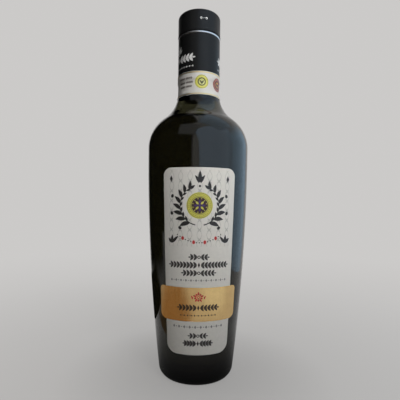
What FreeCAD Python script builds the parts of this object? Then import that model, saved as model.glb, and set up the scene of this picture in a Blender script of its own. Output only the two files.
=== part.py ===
import FreeCAD, Part
import math
import os
import re
import Sketcher

# A half-litre glass bottle of olive oil with a long aluminium screw closure.
# Millimetres. +Z is up, the floor is z = 0, the axis is x = y = 0, and the front label faces -Y.

# Driving sizes. Each one stands by itself.
SIZES = {
    # glass, outside
    "foot_radius": 26.7,  # where the side's arc would meet the floor
    "belly_radius": 37.05,  # the widest circle
    "belly_level": 166.2,  # height of the widest circle
    "shoulder_radius": 26.4,  # convex arc above the belly
    "neck_sweep": 27.0,  # concave arc that runs into the neck
    "neck_radius": 15.2,
    "neck_length": 54.5,  # straight neck, from the end of the concave arc to the mouth
    "heel_radius": 6.5,
    "bearing_width": 1.6,  # flat ring that the bottle stands on
    "punt_height": 6.5,  # the base is pushed up by this much
    "punt_rim": 3.0,  # arc between the standing ring and the punt
    "lip_round": 1.4,  # edges of the mouth
    # glass, inside
    "wall": 3.75,
    "floor_wall": 5.5,
    "inner_heel": 9.0,
    "bore_radius": 9.75,
    # oil
    "fill_rise": 17.4,  # surface of the oil above the belly
    "wetting_gap": 0.08,
    # closure
    "closure_clearance": 0.15,  # radial play of the closure on the neck
    "cap_height": 16.3,
    "cap_wall": 0.4,
    "cap_crown": 1.4,
    "cap_round": 2.6,
    "cap_inner_round": 1.2,
    "rim_height": 0.9,
    "rim_flare": 0.15,
    "tear_height": 1.25,
    "tear_wall": 0.15,
    "tear_bulge": 1.6,  # radius of the ring's rounded outside
    "sleeve_start": 5.8,  # lower edge of the sleeve above the end of the concave arc
    "sleeve_wall": 0.25,
    "sleeve_waist": 0.12,  # the sleeve narrows by this much under the ring
    "sleeve_waist_height": 0.9,
    # paper
    "paper": 0.15,
    "glue": 0.08,
    "label_turn": 2.4,  # the front label sits this many degrees off centre
    "label_drop": 17.3,  # top edge below the belly
    "label_lift": 23.6,  # bottom edge above the floor
    "label_half_top": 24.1,
    "label_half_bottom": 20.4,
    "label_round_top": 5.0,
    "label_round_bottom": 6.5,
    "band_lift": 46.8,
    "band_height": 23.0,
    "band_half_top": 25.6,
    "band_half_bottom": 24.8,
    "band_round_top": 2.2,
    "band_round_bottom": 3.8,
    "collar_drop": 6.1,  # lower edge of the neck label below the end of the concave arc
    "collar_lap": 4.9,  # how far it covers the sleeve
    "collar_ease": 1.8,  # height over which it eases out on to the sleeve
}

# Worked out from the sizes above, as formulas in the same sheet.
WORKED = {
    "side_arc": "(belly_level^2 + (belly_radius - foot_radius)^2) / (2 * (belly_radius - foot_radius))",
    "side_centre": "belly_radius - side_arc",
    "heel_centre": "side_centre + sqrt((side_arc - heel_radius)^2 - (belly_level - heel_radius)^2)",
    "heel_share": "side_arc / (side_arc - heel_radius)",
    "ring_centre": "heel_centre - bearing_width",
    "punt_arc": "(ring_centre^2 + punt_height^2 - 2 * punt_rim * punt_height) / (2 * punt_height)",
    "punt_centre": "punt_height - punt_arc",
    "punt_share": "punt_arc / (punt_arc + punt_rim)",
    "sweep_sum": "shoulder_radius + neck_sweep",
    "shoulder_turn": "acos(1 - (belly_radius - neck_radius) / sweep_sum)",
    "neck_level": "belly_level + sweep_sum * sin(shoulder_turn)",
    "mouth_level": "neck_level + neck_length",
    "bore_turn": "acos(1 - (belly_radius - wall - bore_radius) / sweep_sum)",
    "bore_level": "belly_level + sweep_sum * sin(bore_turn)",
    # centre of the inner heel's arc, which touches the inner side and the inner floor
    "heel_to_side": "side_arc - wall - inner_heel",
    "heel_to_punt": "punt_arc + floor_wall + inner_heel",
    "span": "sqrt(side_centre^2 + (belly_level - punt_centre)^2)",
    "span_part": "(heel_to_side^2 - heel_to_punt^2 + span^2) / (2 * span)",
    "span_rise": "sqrt(heel_to_side^2 - span_part^2)",
    "inner_heel_centre": "side_centre + (span_rise * (belly_level - punt_centre) - span_part * side_centre) / span",
    "inner_heel_level": "belly_level - (span_part * (belly_level - punt_centre) + span_rise * side_centre) / span",
    "oil_level": "belly_level + fill_rise",
    "closure_bore": "neck_radius + closure_clearance",
    "cap_radius": "closure_bore + cap_wall",
    "cap_top": "mouth_level + cap_crown",
    "cap_bottom": "cap_top - cap_height",
    "tear_bottom": "cap_bottom - tear_height",
    "sleeve_radius": "closure_bore + sleeve_wall",
    "sleeve_bottom": "neck_level + sleeve_start",
    "label_top": "belly_level - label_drop",
    "band_top": "band_lift + band_height",
    "label_lean": "atan((label_half_top - label_half_bottom) / (label_top - label_lift))",
    "band_lean": "atan((band_half_top - band_half_bottom) / band_height)",
    "collar_bottom": "neck_level - collar_drop",
    "collar_top": "sleeve_bottom + collar_lap",
}

TRIM_MARGIN = 5.0  # how far a trimming outline reaches past what it trims
TOLERANCE = 1e-6

LINE = None
LEFT = 1  # an arc whose centre lies to the left of the way along the outline
RIGHT = -1

doc = FreeCAD.newDocument("olive_oil_bottle")
sheet = doc.addObject("Spreadsheet::Sheet", "Sizes")


def fill_sheet():
    """Name in column A, value or formula in column B."""
    for row, (alias, value) in enumerate([*SIZES.items(), *WORKED.items()], 1):
        text = str(value) if alias in SIZES else "=" + value
        sheet.set(f"A{row}", alias)
        sheet.set(f"B{row}", text)
        sheet.setAlias(f"B{row}", alias)
    doc.recompute()


def bound(text):
    """A formula in plain names, as other objects of the document read it from the sheet."""
    return re.sub(
        r"[a-z_]+", lambda word: f"Sizes.{word[0]}" if word[0] in SIZES | WORKED else word[0], text
    )


def value_of(text):
    result = sheet.evalExpression(bound(text))
    return float(getattr(result, "Value", result))


def pin(sketch, geometry, end, text, direction, axis):
    """Hold one coordinate of a point at a formula's value."""
    value = value_of(text)
    if abs(value) < TOLERANCE:
        sketch.addConstraint(Sketcher.Constraint("PointOnObject", geometry, end, axis))
        return
    ends = (-1, 1, geometry, end) if value > 0 else (geometry, end, -1, 1)
    index = sketch.addConstraint(Sketcher.Constraint(direction, *ends, abs(value)))
    sketch.setExpression(f"Constraints[{index}]", bound(text if value > 0 else f"-({text})"))


def arc_between(start, end, radius, side):
    """The shorter arc from start to end, with its centre on the given side of the way along."""
    chord = end - start
    height = math.sqrt(radius**2 - (chord.Length / 2) ** 2)
    normal = FreeCAD.Vector(-chord.y, chord.x, 0).normalize()
    centre = (start + end) / 2 + normal * height * side
    first, last = (start, end) if side == LEFT else (end, start)
    angles = [math.atan2(point.y - centre.y, point.x - centre.x) for point in (first, last)]
    circle = Part.Circle(centre, FreeCAD.Vector(0, 0, 1), radius)
    return Part.ArcOfCircle(circle, *angles)


def draw(sketch, outline):
    """A closed outline. Each entry is a point's two formulas and the arc or line that leaves it."""
    points = [FreeCAD.Vector(value_of(entry[0]), value_of(entry[1]), 0) for entry in outline]
    edges = []
    for number, (across, up, arc) in enumerate(outline):
        start, end = points[number], points[(number + 1) % len(points)]
        if arc is LINE:
            geometry = sketch.addGeometry(Part.LineSegment(start, end))
            edges.append((geometry, 1, 2))
        else:
            radius, side = arc
            geometry = sketch.addGeometry(arc_between(start, end, value_of(radius), side))
            edges.append((geometry, 1, 2) if side == LEFT else (geometry, 2, 1))
    for number, (geometry, first, last) in enumerate(edges):
        following = edges[(number + 1) % len(edges)]
        sketch.addConstraint(Sketcher.Constraint("Coincident", geometry, last, *following[:2]))
    for (geometry, first, last), (across, up, arc) in zip(edges, outline):
        pin(sketch, geometry, first, across, "DistanceX", -2)
        pin(sketch, geometry, first, up, "DistanceY", -1)
        if arc is not LINE:
            index = sketch.addConstraint(Sketcher.Constraint("Radius", geometry, value_of(arc[0])))
            sketch.setExpression(f"Constraints[{index}]", bound(arc[0]))


def new_body(label):
    body = doc.addObject("PartDesign::Body", label)
    body.Label = label
    return body


def sketch_in(body, name):
    """A sketch in the body's upright plane: across is X, up is Z."""
    sketch = body.newObject("Sketcher::SketchObject", name)
    plane = [item for item in body.Origin.OriginFeatures if item.Role == "XZ_Plane"][0]
    sketch.AttachmentSupport = [(plane, "")]
    sketch.MapMode = "FlatFace"
    return sketch


def turned(body, kind, name, outline, angle=360.0):
    """Turn an outline about Z: kind is Revolution, which adds, or Groove, which takes away."""
    sketch = sketch_in(body, name + "_outline")
    draw(sketch, outline)
    feature = body.newObject(f"PartDesign::{kind}", name)
    feature.Profile = sketch
    feature.ReferenceAxis = (sketch, ["V_Axis"])
    feature.Angle = angle
    doc.recompute()
    return feature


def bottle_outside():
    """From the top of the punt, out under the base and up to the mouth."""
    return [
        ("0", "punt_height", ("punt_arc", RIGHT)),
        ("ring_centre * punt_share", "punt_centre + (punt_rim - punt_centre) * punt_share", ("punt_rim", LEFT)),
        ("ring_centre", "0", LINE),
        ("heel_centre", "0", ("heel_radius", LEFT)),
        (
            "side_centre + (heel_centre - side_centre) * heel_share",
            "belly_level - (belly_level - heel_radius) * heel_share",
            ("side_arc", LEFT),
        ),
        ("belly_radius", "belly_level", ("shoulder_radius", LEFT)),
        (
            "belly_radius - shoulder_radius * (1 - cos(shoulder_turn))",
            "belly_level + shoulder_radius * sin(shoulder_turn)",
            ("neck_sweep", RIGHT),
        ),
        ("neck_radius", "neck_level", LINE),
        ("neck_radius", "mouth_level", LINE),
        ("0", "mouth_level", LINE),
    ]


def bottle_inside(gap):
    """The space in the glass, drawn in by a gap, from the middle of its floor up to the mouth."""
    side = f"(side_arc - wall - {gap})"
    floor = f"(punt_arc + floor_wall + {gap})"
    shoulder = f"(shoulder_radius - wall - {gap})"
    return [
        ("0", f"punt_centre + {floor}", (floor, RIGHT)),
        (
            f"inner_heel_centre * {floor} / heel_to_punt",
            f"punt_centre + (inner_heel_level - punt_centre) * {floor} / heel_to_punt",
            (f"inner_heel - {gap}", LEFT),
        ),
        (
            f"side_centre + (inner_heel_centre - side_centre) * {side} / heel_to_side",
            f"belly_level + (inner_heel_level - belly_level) * {side} / heel_to_side",
            (side, LEFT),
        ),
        (f"belly_radius - wall - {gap}", "belly_level", (shoulder, LEFT)),
        (
            f"belly_radius - shoulder_radius + {shoulder} * cos(bore_turn)",
            f"belly_level + {shoulder} * sin(bore_turn)",
            (f"neck_sweep + wall + {gap}", RIGHT),
        ),
        (f"bore_radius - {gap}", "bore_level", LINE),
        (f"bore_radius - {gap}", "mouth_level", LINE),
        ("0", "mouth_level", LINE),
    ]


def make_bottle():
    body = new_body("glass_bottle")
    turned(body, "Revolution", "glass_block", bottle_outside())
    bored = turned(body, "Groove", "glass_bore", bottle_inside("0"))
    mouth = value_of("mouth_level")
    rims = [
        f"Edge{number}"
        for number, edge in enumerate(bored.Shape.Edges, 1)
        if min(vertex.Z for vertex in edge.Vertexes) > mouth - TOLERANCE
    ]
    rounding = body.newObject("PartDesign::Fillet", "glass_lip")
    rounding.Base = (bored, rims)
    rounding.setExpression("Radius", bound("lip_round"))
    return body


def make_oil():
    """The bottle's inside up to the surface of the oil."""
    sketch = doc.addObject("Sketcher::SketchObject", "oil_outline")
    sketch.Placement = FreeCAD.Placement(
        FreeCAD.Vector(), FreeCAD.Rotation(FreeCAD.Vector(1, 0, 0), 90)
    )
    draw(sketch, bottle_inside("wetting_gap"))
    space = doc.addObject("Part::Revolution", "oil_space")
    space.Source = sketch
    space.Axis = (0, 0, 1)
    space.Angle = 360
    space.Solid = True
    depth = doc.addObject("Part::Cylinder", "oil_depth")
    depth.setExpression("Radius", bound("belly_radius"))
    depth.setExpression("Height", bound("oil_level"))
    oil = doc.addObject("Part::Common", "olive_oil")
    oil.Base = space
    oil.Tool = depth
    oil.Label = "olive_oil"
    return oil


def make_cap():
    """A deep cup, rounded at the crown and beaded at its rim, seated on the mouth."""
    body = new_body("screw_cap")
    outline = [
        ("0", "mouth_level", LINE),
        ("closure_bore - cap_inner_round", "mouth_level", ("cap_inner_round", RIGHT)),
        ("closure_bore", "mouth_level - cap_inner_round", LINE),
        ("closure_bore", "cap_bottom", LINE),
        ("cap_radius + rim_flare", "cap_bottom", LINE),
        ("cap_radius + rim_flare", "cap_bottom + rim_height", LINE),
        ("cap_radius", "cap_bottom + rim_height + rim_flare", LINE),
        ("cap_radius", "cap_top - cap_round", ("cap_round", LEFT)),
        ("cap_radius - cap_round", "cap_top", LINE),
        ("0", "cap_top", LINE),
    ]
    turned(body, "Revolution", "cap_shell", outline)
    return body


def make_tear_ring():
    body = new_body("tear_ring")
    outline = [
        ("closure_bore", "tear_bottom", LINE),
        ("closure_bore + tear_wall", "tear_bottom", ("tear_bulge", LEFT)),
        ("closure_bore + tear_wall", "cap_bottom", LINE),
        ("closure_bore", "cap_bottom", LINE),
    ]
    turned(body, "Revolution", "tear_shell", outline)
    return body


def make_sleeve():
    body = new_body("cap_sleeve")
    outline = [
        ("closure_bore", "sleeve_bottom", LINE),
        ("sleeve_radius", "sleeve_bottom", LINE),
        ("sleeve_radius", "tear_bottom - sleeve_waist_height", LINE),
        ("sleeve_radius - sleeve_waist", "tear_bottom", LINE),
        ("closure_bore", "tear_bottom", LINE),
    ]
    turned(body, "Revolution", "sleeve_shell", outline)
    return body


def collar_side(lift):
    """The neck label's section on one of its faces, from its top down to its lower edge."""
    return [
        (f"sleeve_radius + {lift}", "collar_top", LINE),
        (f"sleeve_radius + {lift}", "sleeve_bottom", LINE),
        (f"neck_radius + {lift}", "sleeve_bottom - collar_ease", LINE),
        (f"neck_radius + {lift}", "neck_level", (f"neck_sweep - {lift}", LEFT)),
        (
            f"neck_radius + neck_sweep - sqrt((neck_sweep - {lift})^2 - collar_drop^2)",
            "collar_bottom",
            LINE,
        ),
    ]


def make_neck_label():
    """Paper round the neck, from the glass up over the lower end of the sleeve."""
    body = new_body("neck_label")
    inner = collar_side("glue")
    outer = collar_side("(glue + paper)")
    back_up = [(*outer[-1][:2], ("neck_sweep - (glue + paper)", RIGHT))]
    back_up += [(*point[:2], LINE) for point in reversed(outer[:-1])]
    turned(body, "Revolution", "collar_shell", inner + back_up)
    return body


def side_point(lift, level):
    """A point over the bottle's side, at a height and a small distance off the glass."""
    return f"side_centre + sqrt((side_arc + {lift})^2 - (belly_level - {level})^2)"


def rounded_outline(kind, top, bottom):
    """A sheet of paper seen from the front: wider at the top, with rounded corners."""
    lean = f"{kind}_lean"
    high, low = f"{kind}_round_top", f"{kind}_round_bottom"
    high_across = f"({kind}_half_top - {high} * (tan({lean}) + 1 / cos({lean})))"
    low_across = f"({kind}_half_bottom + {low} * (tan({lean}) - 1 / cos({lean})))"
    high_side = (f"{high_across} + {high} * cos({lean})", f"{top} - {high} * (1 + sin({lean}))")
    low_side = (f"{low_across} + {low} * cos({lean})", f"{bottom} + {low} * (1 - sin({lean}))")
    return [
        (low_across, bottom, (low, LEFT)),
        (*low_side, LINE),
        (*high_side, (high, LEFT)),
        (high_across, top, LINE),
        (f"-{high_across}", top, (high, LEFT)),
        (f"-({high_side[0]})", high_side[1], LINE),
        (f"-({low_side[0]})", low_side[1], (low, LEFT)),
        (f"-{low_across}", bottom, LINE),
    ]


def make_label(label, kind, top, bottom, lift):
    """Paper on the bottle's front: half a turn of a thin band, trimmed to its outline."""
    body = new_body(label)
    inner, outer = f"({lift})", f"({lift} + paper)"
    section = [
        (side_point(inner, bottom), bottom, LINE),
        (side_point(outer, bottom), bottom, (f"side_arc + {outer}", LEFT)),
        (side_point(outer, top), top, LINE),
        (side_point(inner, top), top, (f"side_arc + {inner}", RIGHT)),
    ]
    band = turned(body, "Revolution", f"{kind}_band", section, 180.0)
    if band.Shape.CenterOfMass.y > 0:
        band.Reversed = True
    trim_sketch = sketch_in(body, f"{kind}_trim_outline")
    reach = f"(belly_radius + {TRIM_MARGIN})"
    over, under = f"{top} + {TRIM_MARGIN}", f"{bottom} - {TRIM_MARGIN}"
    corners = [(reach, under), (reach, over), (f"-{reach}", over), (f"-{reach}", under)]
    draw(trim_sketch, [(*corner, LINE) for corner in corners])
    draw(trim_sketch, rounded_outline(kind, top, bottom))
    trim = body.newObject("PartDesign::Pocket", f"{kind}_trim")
    trim.Profile = trim_sketch
    trim.Type = "ThroughAll"
    trim.Midplane = True
    body.setExpression("Placement.Rotation.Angle", bound("label_turn"))
    return body


def check(pieces):
    """Stop unless every object worked and every piece is one sound solid."""
    for item in doc.Objects:
        if {"Invalid", "Error"} & set(item.State):
            raise RuntimeError(f"{item.Name} failed: {item.State}")
    for piece in pieces:
        shape = piece.Shape
        if shape.isNull() or not shape.isValid() or len(shape.Solids) != 1:
            raise RuntimeError(f"{piece.Label} isn't one sound solid")


fill_sheet()
pieces = [
    make_bottle(),
    make_oil(),
    make_cap(),
    make_tear_ring(),
    make_sleeve(),
    make_neck_label(),
    make_label("front_label", "label", "label_top", "label_lift", "glue"),
    make_label("gold_band", "band", "band_top", "band_lift", "glue + paper + glue"),
]
doc.recompute()
check(pieces)

os.makedirs("parts", exist_ok=True)
for piece in pieces:
    piece.Shape.exportStep(f"parts/{piece.Label}.step")
    box = piece.Shape.BoundBox
    print(f"{piece.Label}: {piece.Shape.Volume / 1000:.2f} ml, z {box.ZMin:.2f} to {box.ZMax:.2f}")
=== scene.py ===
"""Looks of a half-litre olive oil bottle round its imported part: glass, oil, closure and papers."""

import math

import bmesh
import bpy
from mathutils import Matrix, Vector


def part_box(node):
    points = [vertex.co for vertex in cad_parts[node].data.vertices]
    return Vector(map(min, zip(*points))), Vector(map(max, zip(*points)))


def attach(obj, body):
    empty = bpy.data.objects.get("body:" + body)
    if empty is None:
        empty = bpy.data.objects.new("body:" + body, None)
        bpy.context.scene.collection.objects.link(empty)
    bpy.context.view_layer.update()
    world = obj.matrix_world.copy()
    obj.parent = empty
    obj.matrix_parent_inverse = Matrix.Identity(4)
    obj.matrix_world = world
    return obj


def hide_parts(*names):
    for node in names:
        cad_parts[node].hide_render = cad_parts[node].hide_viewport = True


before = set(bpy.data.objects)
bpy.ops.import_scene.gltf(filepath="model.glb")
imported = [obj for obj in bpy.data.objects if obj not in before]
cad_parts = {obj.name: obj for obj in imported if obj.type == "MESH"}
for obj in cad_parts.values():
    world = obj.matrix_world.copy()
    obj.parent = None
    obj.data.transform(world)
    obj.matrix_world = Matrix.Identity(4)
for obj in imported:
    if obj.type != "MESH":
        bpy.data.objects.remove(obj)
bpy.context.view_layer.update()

MM = 0.001
TINY = 1e-6
SNAP = 0.004  # a corner this near to a cut counts as on it, so that no slivers form
CUT_OFFSET = 0.37  # share of a step that keeps the cuts off the middle of mirrored shapes


def box_mm(node):
    """A CAD node's lowest and highest corner in millimetres."""
    low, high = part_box(node)
    return low / MM, high / MM


# ---------------- sizes, in millimetres
BELLY_RADIUS = box_mm("glass_bottle")[1].x
MOUTH_LEVEL = box_mm("glass_bottle")[1].z
OIL_LEVEL = box_mm("olive_oil")[1].z
CAP_TOP = box_mm("screw_cap")[1].z
CAP_BOTTOM = box_mm("screw_cap")[0].z
TEAR_BOTTOM = box_mm("tear_ring")[0].z
SLEEVE_BOTTOM = box_mm("cap_sleeve")[0].z
LABEL_BOTTOM = box_mm("front_label")[0].z
LABEL_TOP = box_mm("front_label")[1].z
BAND_BOTTOM = box_mm("gold_band")[0].z
BAND_TOP = box_mm("gold_band")[1].z

FOOT_RADIUS = 26.7
BELLY_LEVEL = 166.2
SHOULDER_RADIUS = 26.4
NECK_SWEEP = 27.0
NECK_RADIUS = 15.2
HEEL_RADIUS = 6.5
BEARING_WIDTH = 1.6
PUNT_HEIGHT = 6.5
PUNT_RIM = 3.0
LIP_ROUND = 1.4
WALL = 3.75
FLOOR_WALL = 5.5
INNER_HEEL = 9.0
BORE_RADIUS = 9.75
OIL_REACH = 0.15  # the oil runs this far into the wall, so that no air shows between them
MENISCUS_HEIGHT = 0.9
MENISCUS_WIDTH = 1.5

CLOSURE_BORE = 15.35
CAP_RADIUS = 15.75
CAP_ROUND = 2.6
SLEEVE_RADIUS = 15.6

PAPER = 0.15
GLUE = 0.08
INK = 0.03  # how far a print stands off its paper
INK_ROOT = 0.03  # how far it reaches in
LABEL_TURN = math.radians(2.4)
LABEL_HALF_TOP = 24.1
LABEL_HALF_BOTTOM = 20.4
LABEL_ROUNDS = (5.0, 6.5)  # top corners, bottom corners
BAND_HALF_TOP = 25.6
BAND_HALF_BOTTOM = 24.8
BAND_ROUNDS = (2.2, 3.8)
COLLAR_DROP = 6.1
COLLAR_LAP = 4.9
COLLAR_EASE = 1.8

# worked out from those, as in the part
SIDE_ARC = (BELLY_LEVEL**2 + (BELLY_RADIUS - FOOT_RADIUS) ** 2) / (2 * (BELLY_RADIUS - FOOT_RADIUS))
SIDE_CENTRE = BELLY_RADIUS - SIDE_ARC
HEEL_CENTRE = SIDE_CENTRE + math.sqrt((SIDE_ARC - HEEL_RADIUS) ** 2 - (BELLY_LEVEL - HEEL_RADIUS) ** 2)
RING_CENTRE = HEEL_CENTRE - BEARING_WIDTH
PUNT_ARC = (RING_CENTRE**2 + PUNT_HEIGHT**2 - 2 * PUNT_RIM * PUNT_HEIGHT) / (2 * PUNT_HEIGHT)
PUNT_CENTRE = PUNT_HEIGHT - PUNT_ARC
SWEEP_SUM = SHOULDER_RADIUS + NECK_SWEEP
SHOULDER_TURN = math.acos(1 - (BELLY_RADIUS - NECK_RADIUS) / SWEEP_SUM)
NECK_LEVEL = BELLY_LEVEL + SWEEP_SUM * math.sin(SHOULDER_TURN)
BORE_TURN = math.acos(1 - (BELLY_RADIUS - WALL - BORE_RADIUS) / SWEEP_SUM)
BORE_LEVEL = BELLY_LEVEL + SWEEP_SUM * math.sin(BORE_TURN)
COLLAR_BOTTOM = NECK_LEVEL - COLLAR_DROP
COLLAR_TOP = SLEEVE_BOTTOM + COLLAR_LAP


# ---------------- outlines of turned pieces
def arc(centre, radius, first, last, step=1.0):
    """Points (radius, level) of an arc between two angles, both ends included."""
    count = max(2, math.ceil(abs(last - first) * radius / step))
    angles = [first + (last - first) * n / count for n in range(count + 1)]
    return [(centre[0] + radius * math.cos(a), centre[1] + radius * math.sin(a)) for a in angles]


def outline(*runs):
    """The runs of points one after another, without the points that repeat."""
    joined = []
    for point in [point for run in runs for point in run]:
        if not joined or math.dist(point, joined[-1]) > TINY:
            joined.append(point)
    return joined


def circle_meeting():
    """Centre of the inner heel's arc, which touches the inner side and the inner floor."""
    to_side = SIDE_ARC - WALL - INNER_HEEL
    to_punt = PUNT_ARC + FLOOR_WALL + INNER_HEEL
    rise = BELLY_LEVEL - PUNT_CENTRE
    span = math.hypot(SIDE_CENTRE, rise)
    part = (to_side**2 - to_punt**2 + span**2) / (2 * span)
    height = math.sqrt(to_side**2 - part**2)
    across = SIDE_CENTRE + (height * rise - part * SIDE_CENTRE) / span
    up = BELLY_LEVEL - (part * rise + height * SIDE_CENTRE) / span
    return across, up


def outside_outline():
    """From the middle of the punt, out under the base and up to the mouth."""
    punt_end = math.atan2(PUNT_RIM - PUNT_CENTRE, RING_CENTRE)
    side_start = math.atan2(HEEL_RADIUS - BELLY_LEVEL, HEEL_CENTRE - SIDE_CENTRE)
    return outline(
        arc((0, PUNT_CENTRE), PUNT_ARC, math.pi / 2, punt_end, 1.5),
        arc((RING_CENTRE, PUNT_RIM), PUNT_RIM, punt_end - math.pi, -math.pi / 2, 0.5),
        arc((HEEL_CENTRE, HEEL_RADIUS), HEEL_RADIUS, -math.pi / 2, side_start, 0.6),
        arc((SIDE_CENTRE, BELLY_LEVEL), SIDE_ARC, side_start, 0, 2.5),
        arc((BELLY_RADIUS - SHOULDER_RADIUS, BELLY_LEVEL), SHOULDER_RADIUS, 0, SHOULDER_TURN),
        arc(
            (NECK_RADIUS + NECK_SWEEP, NECK_LEVEL), NECK_SWEEP, math.pi + SHOULDER_TURN, math.pi
        ),
    )


def inside_outline(reach=0.0):
    """The space in the glass, widened by a reach, from its top down to the middle of its floor."""
    heel = circle_meeting()
    side_end = math.atan2(heel[1] - BELLY_LEVEL, heel[0] - SIDE_CENTRE)
    floor_start = math.atan2(heel[1] - PUNT_CENTRE, heel[0])
    return outline(
        arc(
            (BORE_RADIUS + NECK_SWEEP + WALL, BORE_LEVEL),
            NECK_SWEEP + WALL - reach,
            math.pi,
            math.pi + BORE_TURN,
        ),
        arc(
            (BELLY_RADIUS - SHOULDER_RADIUS, BELLY_LEVEL),
            SHOULDER_RADIUS - WALL + reach,
            BORE_TURN,
            0,
        ),
        arc((SIDE_CENTRE, BELLY_LEVEL), SIDE_ARC - WALL + reach, 0, side_end, 2.5),
        arc(heel, INNER_HEEL + reach, side_end, floor_start - math.pi, 0.8),
        arc((0, PUNT_CENTRE), PUNT_ARC + FLOOR_WALL - reach, floor_start, math.pi / 2, 1.5),
    )


def lip_outline():
    """Rounded mouth, from the outside of the neck to the bore."""
    low = MOUTH_LEVEL - LIP_ROUND
    return outline(
        arc((NECK_RADIUS - LIP_ROUND, low), LIP_ROUND, 0, math.pi / 2, 0.3),
        arc((BORE_RADIUS + LIP_ROUND, low), LIP_ROUND, math.pi / 2, math.pi, 0.3),
    )


def side_radius(level):
    """Radius of the glass below the belly."""
    return SIDE_CENTRE + math.sqrt(SIDE_ARC**2 - (BELLY_LEVEL - level) ** 2)


def collar_radius(level):
    """Radius under the neck label: glass at its lower edge, sleeve at its upper edge."""
    if level < NECK_LEVEL:
        return NECK_RADIUS + NECK_SWEEP - math.sqrt(NECK_SWEEP**2 - (NECK_LEVEL - level) ** 2)
    ease = min(max((level - SLEEVE_BOTTOM + COLLAR_EASE) / COLLAR_EASE, 0), 1)
    return NECK_RADIUS + (SLEEVE_RADIUS - NECK_RADIUS) * ease * ease * (3 - 2 * ease)


# ---------------- meshes
def even_angles(count):
    """Angles all the way round, evenly apart."""
    return [2 * math.pi * n / count for n in range(count)]


def finish_piece(mesh, name, material, replaced=(), sharp=35.0):
    """An object from a mesh in millimetres, smooth up to a sharp angle, riding on the body."""
    mesh.transform(Matrix.Scale(MM, 4))
    mesh.polygons.foreach_set("use_smooth", [True] * len(mesh.polygons))
    mesh.set_sharp_from_angle(angle=math.radians(sharp))
    mesh.materials.append(material)
    piece = bpy.data.objects.new(name, mesh)
    bpy.context.scene.collection.objects.link(piece)
    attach(piece, "root")
    if replaced:
        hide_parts(*replaced)


def lathe(name, profile, angles, closed=False, swell=None):
    """Turn a profile about Z. Angle 0 is -Y, and a closed profile joins its ends.

    A swell tells how far a point stands out, from its place in the profile, angle, radius and level.
    """
    points, rings = [], []
    for place, (radius, level) in enumerate(profile):
        start = len(points)
        if radius < TINY:
            points.append((0, 0, level))
            rings.append([start])
            continue
        for angle in angles:
            out = radius + (swell(place, angle, radius, level) if swell else 0)
            points.append((out * math.sin(angle), -out * math.cos(angle), level))
        rings.append(range(start, len(points)))
    faces = []
    pairs = list(zip(rings, rings[1:])) + ([(rings[-1], rings[0])] if closed else [])
    for lower, upper in pairs:
        for k in range(len(angles)):
            after = (k + 1) % len(angles)
            corners = [lower[k % len(lower)], lower[after % len(lower)]]
            corners += [upper[after % len(upper)], upper[k % len(upper)]]
            faces.append(tuple(dict.fromkeys(corners)))
    mesh = bpy.data.meshes.new(name)
    mesh.from_pydata(points, [], faces)
    mesh.validate()
    return mesh


LEAF_STEPS = 9
LEAF_LEAN = 0.85  # under 1 puts a leaf's widest part nearer to its base
LEAF_FULLNESS = 0.9  # under 1 makes it fuller towards its ends
LEAF_TIP = 0.02  # half the width left at its ends


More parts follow.
